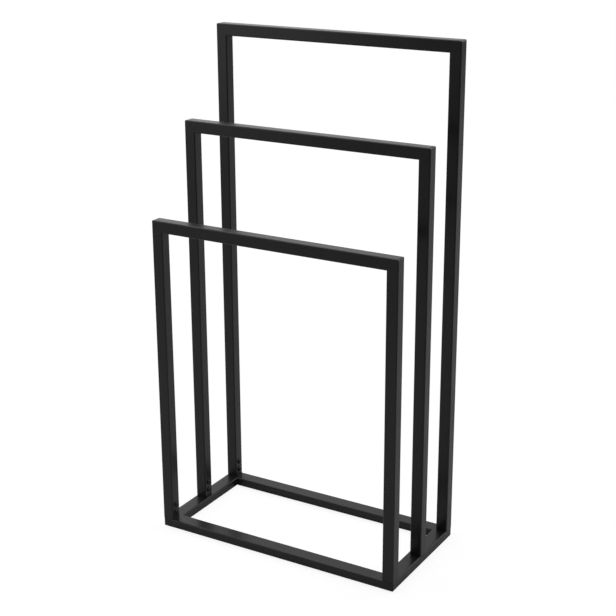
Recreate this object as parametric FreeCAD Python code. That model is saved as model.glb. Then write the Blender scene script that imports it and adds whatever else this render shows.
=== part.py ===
import FreeCAD, Part
import math
import os

# Freestanding towel stand, in millimetres. +Z is up and +X runs along the towel bars.
# The lowest hoop stands at the front, on the -Y side. The origin is on the floor,
# under the middle of the base frame.

# Driving dimensions of the stand
width = 450.0
depth = 220.0
back_height = 850.0
hoop_step = 147.5

# Square tube of the posts and towel bars, and flat tube of the base rails
tube = 20.0
rail_width = 25.0
rail_height = 15.0
wall = 1.2
tube_radius = 2.0
ground_radius = 3.0

# Square stub inside the foot of each post
spigot_clearance = 0.3
spigot_wall = 2.0
spigot_radius = 1.5
spigot_height = 34.0

# Pair of button-head screws at the foot of each post
lower_screw = 11.5
screw_spacing = 15.0
shank_radius = 2.5
shank_length = 8.0
head_radius = 4.75
head_height = 2.75
head_rim = 0.5
head_flat_radius = 2.4
head_bulge = 0.5
socket_across_flats = 3.0
socket_depth = 1.5
post_hole_radius = 2.75
tapped_hole_radius = 2.55

# Floor pads under the corners of the base
pad_side = 18.0
pad_height = 1.5
pad_radius = 3.0

# Worked-out places
half_width = width / 2
half_depth = depth / 2
rail_top = pad_height + rail_height
post_x = half_width - tube / 2
hoop_y = half_depth - tube / 2
pad_x = half_width - rail_width / 2
pad_y = half_depth - rail_width / 2
spigot_side = tube - 2 * wall - 2 * spigot_clearance
screw_heights = [rail_top + lower_screw, rail_top + lower_screw + screw_spacing]

X = FreeCAD.Vector(1, 0, 0)
Y = FreeCAD.Vector(0, 1, 0)
Z = FreeCAD.Vector(0, 0, 1)


def point(x, y, z):
    """Place or direction in the frame of the stand."""
    return FreeCAD.Vector(x, y, z)


def rounded_face(centre, across, up, size_across, size_up, radius):
    """Rounded rectangle about centre, in the plane of the unit vectors across and up."""
    corner_across = size_across / 2 - radius
    corner_up = size_up / 2 - radius

    def on_corner(corner, turn):
        """Point on one of the four corner arcs, with turn from 0 at its start to 1 at its end."""
        angle = math.radians(90) * (corner + turn)
        middle = math.radians(90) * (corner + 0.5)
        along = math.copysign(corner_across, math.cos(middle)) + radius * math.cos(angle)
        above = math.copysign(corner_up, math.sin(middle)) + radius * math.sin(angle)
        return centre + across * along + up * above

    edges = []
    for corner in range(4):
        start = on_corner(corner, 0)
        end = on_corner(corner, 1)
        following = on_corner((corner + 1) % 4, 0)
        edges.append(Part.Arc(start, on_corner(corner, 0.5), end).toShape())
        edges.append(Part.LineSegment(end, following).toShape())
    return Part.Face(Part.Wire(edges))


def hollow_tube(centre, across, up, size_across, size_up, radius, thickness, run):
    """Tube with its first end about centre, drawn along the vector run."""
    bore_across = size_across - 2 * thickness
    bore_up = size_up - 2 * thickness
    bore_radius = max(radius - thickness, thickness / 2)
    outside = rounded_face(centre, across, up, size_across, size_up, radius)
    inside = rounded_face(centre, across, up, bore_across, bore_up, bore_radius)
    return outside.cut(inside).extrude(run)


def prism(corners, run):
    """Solid of the outline through corners, drawn along the vector run."""
    return Part.Face(Part.makePolygon(corners + corners[:1])).extrude(run)


def ground_sliver(corner, inward_a, inward_b, run):
    """What grinding takes off a sharp outer corner of a welded mitre."""
    centre = corner + (inward_a + inward_b) * ground_radius
    square = [corner, corner + inward_a * ground_radius, centre, corner + inward_b * ground_radius]
    return prism(square, run).cut(Part.makeCylinder(ground_radius, run.Length, centre, run))


def mitred(piece, outline, run, slivers):
    """A piece of tube cut to its mitred outline, with its outer corners ground round."""
    return piece.common(prism(outline, run)).cut(Part.makeCompound(slivers)).Solids[0]


def base_slivers():
    """Slivers at the four upright corners of the base frame."""
    up = Z * rail_height
    slivers = []
    for side in (-1, 1):
        for end in (-1, 1):
            corner = point(side * half_width, end * half_depth, pad_height)
            slivers.append(ground_sliver(corner, X * -side, Y * -end, up))
    return slivers


def long_rail(end):
    """Front rail for end -1 and back rail for end 1, mitred to the side rails."""
    middle = pad_height + rail_height / 2
    start = point(-half_width, end * (half_depth - rail_width / 2), middle)
    piece = hollow_tube(start, Y, Z, rail_width, rail_height, tube_radius, wall, X * width)
    inner_x = half_width - rail_width
    inner_y = half_depth - rail_width
    outline = [
        point(-half_width, end * half_depth, pad_height),
        point(half_width, end * half_depth, pad_height),
        point(inner_x, end * inner_y, pad_height),
        point(-inner_x, end * inner_y, pad_height),
    ]
    return mitred(piece, outline, Z * rail_height, base_slivers())


def side_rail(side):
    """Left rail for side -1 and right rail for side 1, mitred to the front and back rails."""
    middle = pad_height + rail_height / 2
    start = point(side * (half_width - rail_width / 2), -half_depth, middle)
    piece = hollow_tube(start, X, Z, rail_width, rail_height, tube_radius, wall, Y * depth)
    inner_x = half_width - rail_width
    inner_y = half_depth - rail_width
    outline = [
        point(side * half_width, -half_depth, pad_height),
        point(side * half_width, half_depth, pad_height),
        point(side * inner_x, inner_y, pad_height),
        point(side * inner_x, -inner_y, pad_height),
    ]
    return mitred(piece, outline, Z * rail_height, base_slivers())


def hoop_slivers(y, top):
    """Slivers at the two upper outer corners of a hoop."""
    slivers = []
    for side in (-1, 1):
        corner = point(side * half_width, y - tube / 2, top)
        slivers.append(ground_sliver(corner, X * -side, Z * -1, Y * tube))
    return slivers


def post(side, y, top):
    """Post on the left for side -1 and on the right for side 1, with its screw holes facing inward."""
    foot = point(side * post_x, y, rail_top)
    piece = hollow_tube(foot, X, Y, tube, tube, tube_radius, wall, Z * (top - rail_top))
    face = y - tube / 2
    outline = [
        point(side * half_width, face, rail_top),
        point(side * half_width, face, top),
        point(side * (half_width - tube), face, top - tube),
        point(side * (half_width - tube), face, rail_top),
    ]
    piece = mitred(piece, outline, Y * tube, hoop_slivers(y, top))
    return drilled(piece, side, y, post_hole_radius)


def towel_bar(y, top):
    """Horizontal bar of a hoop, mitred to its two posts."""
    start = point(-half_width, y, top - tube / 2)
    piece = hollow_tube(start, Y, Z, tube, tube, tube_radius, wall, X * width)
    face = y - tube / 2
    outline = [
        point(-half_width, face, top),
        point(half_width, face, top),
        point(half_width - tube, face, top - tube),
        point(-half_width + tube, face, top - tube),
    ]
    return mitred(piece, outline, Y * tube, hoop_slivers(y, top))


def spigot(side, y):
    """Upright stub welded to the base. The post slips over it and its tapped holes take the screws."""
    foot = point(side * post_x, y, rail_top)
    run = Z * spigot_height
    piece = hollow_tube(foot, X, Y, spigot_side, spigot_side, spigot_radius, spigot_wall, run)
    return drilled(piece, side, y, tapped_hole_radius)


def drilled(piece, side, y, radius):
    """Piece with the two screw holes through the wall that faces the middle of the stand."""
    for height in screw_heights:
        start = point(side * post_x, y, height)
        piece = piece.cut(Part.makeCylinder(radius, tube, start, X * -side))
    return piece.Solids[0]


def hexagon(across_flats, height):
    """Corners of a hexagon about the Z axis, at a height above the XY plane."""
    sides = 6
    corner_radius = across_flats / 2 / math.cos(math.pi / sides)
    corners = []
    for corner in range(sides):
        angle = 2 * math.pi * corner / sides
        corners.append(point(corner_radius * math.cos(angle), corner_radius * math.sin(angle), height))
    return corners


def screw():
    """Button-head screw with a hexagon socket. Its head sits on the XY plane and points along +Z."""
    origin = point(0, 0, 0)
    rim = point(head_radius, 0, head_rim)
    flat = point(head_flat_radius, 0, head_height)
    slope = (flat - rim).normalize()
    crown = (rim + flat) / 2 + Y.cross(slope) * head_bulge
    underside = point(head_radius, 0, 0)
    straight = Part.makePolygon([flat, Z * head_height, origin, underside, rim])
    profile = Part.Wire([straight, Part.Arc(rim, crown, flat).toShape()])
    head = Part.Face(profile).revolve(origin, Z, 360)
    shank = Part.makeCylinder(shank_radius, shank_length, Z * -shank_length, Z)
    socket = prism(hexagon(socket_across_flats, head_height - socket_depth), Z * head_height)
    return head.fuse(shank).cut(socket).removeSplitter().Solids[0]


def screw_pair(side, y):
    """The two screws of one post, driven outward from the inner face of the post."""
    placed = []
    for height in screw_heights:
        one = screw()
        one.rotate(point(0, 0, 0), Y, -90 * side)
        one.translate(point(side * (half_width - tube), y, height))
        placed.append(one)
    return Part.makeCompound(placed)


def floor_pad(side, end):
    """Thin pad under one corner of the base."""
    centre = point(side * pad_x, end * pad_y, 0)
    return rounded_face(centre, X, Y, pad_side, pad_side, pad_radius).extrude(Z * pad_height)


def save(name, shape):
    """Write one piece of the stand to the file of its own name."""
    shape.exportStep("parts/" + name + ".step")


os.makedirs("parts", exist_ok=True)

save("base_front_rail", long_rail(-1))
save("base_back_rail", long_rail(1))
save("base_left_rail", side_rail(-1))
save("base_right_rail", side_rail(1))

for side_name, side in (("left", -1), ("right", 1)):
    for end_name, end in (("front", -1), ("back", 1)):
        save(end_name + "_" + side_name + "_pad", floor_pad(side, end))

for hoop, (hoop_name, row) in enumerate((("back", 1), ("middle", 0), ("front", -1))):
    y = row * hoop_y
    top = back_height - hoop * hoop_step
    save(hoop_name + "_towel_bar", towel_bar(y, top))
    for side_name, side in (("left", -1), ("right", 1)):
        place = hoop_name + "_" + side_name
        save(place + "_post", post(side, y, top))
        save(place + "_spigot", spigot(side, y))
        save(place + "_screws", screw_pair(side, y))
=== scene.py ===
"""Looks of the freestanding towel stand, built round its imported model. Everything is in metres."""

import math

import bpy
from mathutils import Matrix, Vector


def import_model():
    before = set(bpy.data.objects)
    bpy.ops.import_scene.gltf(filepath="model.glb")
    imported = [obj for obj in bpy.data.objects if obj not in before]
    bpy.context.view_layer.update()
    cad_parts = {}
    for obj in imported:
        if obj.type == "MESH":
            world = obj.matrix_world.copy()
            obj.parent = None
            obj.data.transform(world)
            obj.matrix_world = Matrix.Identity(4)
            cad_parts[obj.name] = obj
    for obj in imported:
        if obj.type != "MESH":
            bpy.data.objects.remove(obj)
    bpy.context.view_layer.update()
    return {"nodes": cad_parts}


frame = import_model()

MM = 0.001
WHITE = (1.0, 1.0, 1.0, 1.0)

# Camera of the photograph, whose frame is square
IMAGE_PIXELS = 616
SENSOR_MM = 36.0
CAMERA_PLACE = Vector((1.0801, -1.8117, 1.1313))
CAMERA_YAW = 0.5355
CAMERA_PITCH = 0.3208
CAMERA_ROLL = -0.0045
CAMERA_REACH = 50.0
FOCAL_PIXELS = 1354.51
SHIFT_PIXELS = -12.0

# Stretches of a noise's values that gloss and colour follow. Beyond its stretch each stays level
GLOSS_NOISE = (0.3, 0.7)
COLOUR_NOISE = (0.35, 0.65)

# Floor. To the camera alone a share of it glows white, a little more far from the stand than near it
FLOOR_SIZE = 60.0
FLOOR_COLOUR = (0.8, 0.8, 0.8, 1.0)
FLOOR_ROUGHNESS = 0.9
GLOW_SHARE = 0.7
GLOW_DISTANCES = (0.8, 2.5)
GLOW_LEVELS = (1.25, 1.37)

# World. It is white low down at the back left, and falls to these levels in front, overhead and to the
# right. Each fall spans a stretch of one part of the ray's unit vector
FRONT_LEVEL = 0.3
FRONT_SPAN = (-0.6, 0.4)
TOP_LEVEL = 0.75
TOP_SPAN = (0.2, 0.6)
RIGHT_LEVEL = 0.72
RIGHT_SPAN = (-0.65, -0.35)

# Share of the world's strength that lights surfaces. What they mirror of it keeps the whole strength
WORLD_LIGHT = 0.35


def new_material(name):
    """Node material, with its node tree and its Principled shader."""
    material = bpy.data.materials.new(name)
    material.use_nodes = True
    tree = material.node_tree
    return material, tree, tree.nodes["Principled BSDF"]


def noise(tree, size):
    """Noise whose blotches are about size metres across, in the object's own space."""
    place = tree.nodes.new("ShaderNodeTexCoord")
    node = tree.nodes.new("ShaderNodeTexNoise")
    node.inputs["Scale"].default_value = 1.0 / size
    tree.links.new(place.outputs["Object"], node.inputs["Vector"])
    return node.outputs["Fac"]


def map_range(tree, value, span, levels, curve="LINEAR"):
    """Change from the first of two levels to the second, as a value goes from start to end of a span."""
    node = tree.nodes.new("ShaderNodeMapRange")
    node.interpolation_type = curve
    for socket, number in zip(("From Min", "From Max", "To Min", "To Max"), (*span, *levels)):
        node.inputs[socket].default_value = number
    tree.links.new(value, node.inputs["Value"])
    return node.outputs["Result"]


def by_ray(tree, kind, level, level_of_kind):
    """One level for rays in general, and another for the rays of one kind."""
    path = tree.nodes.new("ShaderNodeLightPath")
    return map_range(tree, path.outputs[kind], (0.0, 1.0), (level, level_of_kind))


def product(tree, first, second):
    """Two values multiplied."""
    node = tree.nodes.new("ShaderNodeMath")
    node.operation = "MULTIPLY"
    tree.links.new(first, node.inputs[0])
    tree.links.new(second, node.inputs[1])
    return node.outputs["Value"]


def tint(tree, value, dark, light):
    """Colour between a dark and a light one, chosen by a noise value."""
    node = tree.nodes.new("ShaderNodeValToRGB")
    for stop, position, colour in zip(node.color_ramp.elements, COLOUR_NOISE, (dark, light)):
        stop.position = position
        stop.color = (*colour, 1.0)
    tree.links.new(value, node.inputs["Fac"])
    return node.outputs["Color"]


def bump(tree, relief, height, below=None):
    """Bump as high as height where the relief is 1, stacked on another bump where one is given."""
    node = tree.nodes.new("ShaderNodeBump")
    node.inputs["Distance"].default_value = height
    tree.links.new(relief, node.inputs["Height"])
    if below is not None:
        tree.links.new(below, node.inputs["Normal"])
    return node.outputs["Normal"]


def blotch(tree, shader, size, dark, light, roughness):
    """Let a shader's colour and gloss vary together in blotches of a size, and return their noise."""
    blotches = noise(tree, size)
    tree.links.new(tint(tree, blotches, dark, light), shader.inputs["Base Color"])
    tree.links.new(map_range(tree, blotches, GLOSS_NOISE, roughness), shader.inputs["Roughness"])
    return blotches


def blend_to_output(tree, share, first, second, output):
    """Send the first shader to an output, with a share of the second in it."""
    node = tree.nodes.new("ShaderNodeMixShader")
    tree.links.new(share, node.inputs["Fac"])
    tree.links.new(first, node.inputs[1])
    tree.links.new(second, node.inputs[2])
    tree.links.new(node.outputs["Shader"], tree.nodes[output].inputs["Surface"])


def powder_coat():
    """Satin black powder coat: a soft ripple, a fine grain and an uneven gloss, under a clearer skin."""
    material, tree, shader = new_material("satin_black_powder_coat")
    dark = (0.003, 0.003, 0.003)
    light = (0.005, 0.005, 0.005)
    blotch(tree, shader, size=60.0 * MM, dark=dark, light=light, roughness=(0.40, 0.50))
    shader.inputs["Specular IOR Level"].default_value = 0.22
    shader.inputs["Coat Weight"].default_value = 0.5
    shader.inputs["Coat Roughness"].default_value = 0.22
    ripple = bump(tree, noise(tree, size=3.0 * MM), height=0.02 * MM)
    grain = bump(tree, noise(tree, size=0.35 * MM), height=0.02 * MM, below=ripple)
    tree.links.new(grain, shader.inputs["Normal"])
    return material


def black_oxide():
    """Blackened steel of the screws, which shines a little more than the tube."""
    material, tree, shader = new_material("black_oxide_steel")
    dark = (0.028, 0.028, 0.030)
    light = (0.045, 0.045, 0.047)
    grain = blotch(tree, shader, size=0.5 * MM, dark=dark, light=light, roughness=(0.20, 0.30))
    shader.inputs["Metallic"].default_value = 1.0
    tree.links.new(bump(tree, grain, height=0.01 * MM), shader.inputs["Normal"])
    return material


def rubber():
    """Matt black rubber of the floor pads."""
    material, tree, shader = new_material("matt_black_rubber")
    dark = (0.010, 0.010, 0.010)
    light = (0.020, 0.020, 0.020)
    grain = blotch(tree, shader, size=0.8 * MM, dark=dark, light=light, roughness=(0.75, 0.90))
    tree.links.new(bump(tree, grain, height=0.05 * MM), shader.inputs["Normal"])
    return material


def white_floor():
    """Floor material. The camera sees it as white, with part of its real shading and the stand's shadow."""
    material, tree, shader = new_material("white_floor")
    shader.inputs["Base Color"].default_value = FLOOR_COLOUR
    shader.inputs["Roughness"].default_value = FLOOR_ROUGHNESS
    place = tree.nodes.new("ShaderNodeTexCoord")
    distance = tree.nodes.new("ShaderNodeVectorMath")
    distance.operation = "LENGTH"
    tree.links.new(place.outputs["Object"], distance.inputs[0])
    level = map_range(tree, distance.outputs["Value"], GLOW_DISTANCES, GLOW_LEVELS, "SMOOTHSTEP")
    glow = tree.nodes.new("ShaderNodeEmission")
    tree.links.new(level, glow.inputs["Strength"])
    share = by_ray(tree, "Is Camera Ray", 0.0, GLOW_SHARE)
    blend_to_output(tree, share, shader.outputs["BSDF"], glow.outputs["Emission"], "Material Output")
    return material


def floor():
    """Level floor under the stand, with its middle at the origin."""
    half = FLOOR_SIZE / 2
    corners = [(-half, -half, 0), (half, -half, 0), (half, half, 0), (-half, half, 0)]
    mesh = bpy.data.meshes.new("floor")
    mesh.from_pydata(corners, [], [(0, 1, 2, 3)])
    mesh.materials.append(white_floor())
    plane = bpy.data.objects.new("floor", mesh)
    bpy.context.scene.collection.objects.link(plane)


def world():
    """Studio all round the stand. The camera sees it as plain white on every side."""
    studio = bpy.data.worlds.new("studio")
    studio.use_nodes = True
    tree = studio.node_tree
    direction = tree.nodes.new("ShaderNodeTexCoord")
    axes = tree.nodes.new("ShaderNodeSeparateXYZ")
    tree.links.new(direction.outputs["Generated"], axes.inputs["Vector"])
    to_front = map_range(tree, axes.outputs["Y"], FRONT_SPAN, (FRONT_LEVEL, 1.0), "SMOOTHSTEP")
    to_top = map_range(tree, axes.outputs["Z"], TOP_SPAN, (1.0, TOP_LEVEL), "SMOOTHSTEP")
    to_right = map_range(tree, axes.outputs["X"], RIGHT_SPAN, (1.0, RIGHT_LEVEL), "SMOOTHSTEP")
    level = product(tree, product(tree, to_front, to_top), to_right)
    room = tree.nodes["Background"]
    room.inputs["Color"].default_value = WHITE
    strength = product(tree, level, by_ray(tree, "Is Glossy Ray", WORLD_LIGHT, 1.0))
    tree.links.new(strength, room.inputs["Strength"])
    plain = tree.nodes.new("ShaderNodeBackground")
    plain.inputs["Color"].default_value = WHITE
    share = by_ray(tree, "Is Camera Ray", 0.0, 1.0)
    blend_to_output(tree, share, room.outputs["Background"], plain.outputs["Background"], "World Output")
    bpy.context.scene.world = studio


def softbox(name, place, target, width, height, watts):
    """Large area lamp at a place, turned to a target."""
    lamp = bpy.data.lights.new(name, "AREA")
    lamp.shape = "RECTANGLE"
    lamp.size = width
    lamp.size_y = height
    lamp.energy = watts
    holder = bpy.data.objects.new(name, lamp)
    holder.location = place
    holder.rotation_euler = (Vector(target) - Vector(place)).to_track_quat("-Z", "Y").to_euler()
    bpy.context.scene.collection.objects.link(holder)


def camera():
    """Camera at the photograph's place and angle."""
    data = bpy.data.cameras.new("camera")
    data.sensor_width = SENSOR_MM
    data.lens = FOCAL_PIXELS * SENSOR_MM / IMAGE_PIXELS
    data.shift_y = SHIFT_PIXELS / IMAGE_PIXELS
    data.clip_end = CAMERA_REACH
    view = bpy.data.objects.new("camera", data)
    turn = Matrix.Rotation(CAMERA_YAW, 4, "Z") @ Matrix.Rotation(math.pi / 2 - CAMERA_PITCH, 4, "X")
    view.matrix_world = Matrix.Translation(CAMERA_PLACE) @ turn @ Matrix.Rotation(CAMERA_ROLL, 4, "Z")
    bpy.context.scene.collection.objects.link(view)
    bpy.context.scene.camera = view


finishes = {"powder_coat": powder_coat(), "black_screw": black_oxide(), "pad_rubber": rubber()}
for node in frame["nodes"].values():
    for slot in node.material_slots:
        slot.material = finishes[slot.material.name]

floor()
world()
softbox("overhead", place=(-0.5, -0.1, 1.7), target=(-0.5, -0.1, 0.0), width=2.4, height=2.4, watts=19.0)
softbox("side", place=(-1.8, -2.1, 0.9), target=(0.0, 0.0, 0.5), width=1.2, height=1.5, watts=4.5)
softbox("backdrop", place=(1.8, 2.6, 2.2), target=(1.7, 2.6, 0.0), width=3.0, height=2.0, watts=30.0)
camera()

bpy.context.scene.view_settings.view_transform = "Standard"
